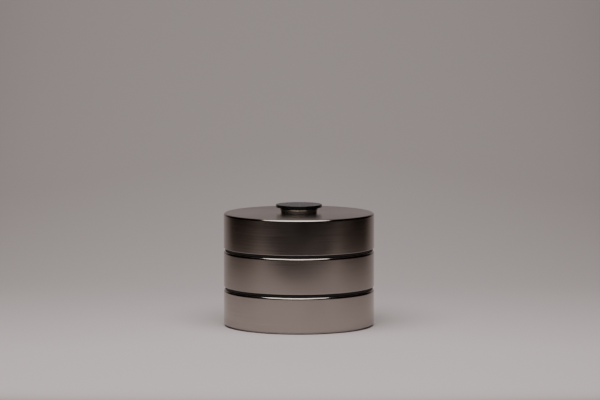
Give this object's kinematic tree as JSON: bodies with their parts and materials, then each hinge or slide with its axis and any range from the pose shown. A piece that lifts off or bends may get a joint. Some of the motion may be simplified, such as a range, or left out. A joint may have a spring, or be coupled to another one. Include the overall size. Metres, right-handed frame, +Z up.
{
  "type": "film developing tank",
  "caption": "Squat round steel developing tank in stacked sections with a flat lid, a filler neck closed by a black cap, and a wire film reel inside.",
  "frame": {"origin": "centre of the base cup's flat underside", "axes": "+Z up along the tank's axis, towards the cap; the film clip opens towards +X"},
  "size_m": [0.086, 0.086, 0.0692],
  "materials": {
    "body_steel": "satin, brushed round the axis",
    "neck_steel": "turned, satin",
    "inner_steel": "as rolled, satin",
    "reel_wire": "drawn wire, electropolished",
    "cap_plastic": "moulded, smooth",
    "seal_rubber": "matte"
  },
  "bodies": {
    "base": {"base_cup": "body_steel", "lower_seal": "seal_rubber"},
    "ring": {"extension_ring": "body_steel", "upper_seal": "seal_rubber"},
    "lid": {"lid_shell": "body_steel", "filler_neck": "neck_steel", "trap_cup": "inner_steel", "trap_skirt": "inner_steel", "trap_post_1": "inner_steel", "trap_post_2": "inner_steel", "trap_post_3": "inner_steel"},
    "cap": {"cap": "cap_plastic", "cap_seal": "seal_rubber"},
    "lifter": {"lifter_foot": "inner_steel", "lifter_rod": "reel_wire"},
    "reel": {"core_band": "inner_steel", "film_clip": "inner_steel", "frame_wire_1": "reel_wire", "frame_wire_2": "reel_wire", "frame_wire_3": "reel_wire", "frame_wire_4": "reel_wire", "bottom_spiral": "reel_wire", "top_spiral": "reel_wire"}
  },
  "joints": [
    {"name": "ring_lift", "type": "slide", "parent": "base", "child": "ring", "axis": [0, 0, 1], "range_m": [0, 0.1]},
    {"name": "lid_lift", "type": "slide", "parent": "ring", "child": "lid", "axis": [0, 0, 1], "range_m": [0, 0.12]},
    {"name": "cap_lift", "type": "slide", "parent": "lid", "child": "cap", "axis": [0, 0, 1], "range_m": [0, 0.04]},
    {"name": "reel_lift", "type": "slide", "parent": "base", "child": "lifter", "axis": [0, 0, 1], "range_m": [0, 0.054]},
    {"name": "reel_spin", "type": "hinge", "parent": "lifter", "child": "reel", "pos_m": [0, 0, 0.0036], "axis": [0, 0, 1], "continuous": true}
  ],
  "couplings": [
    {"joint": "reel_lift", "follows": "lid_lift", "ratio": 0.45}
  ]
}
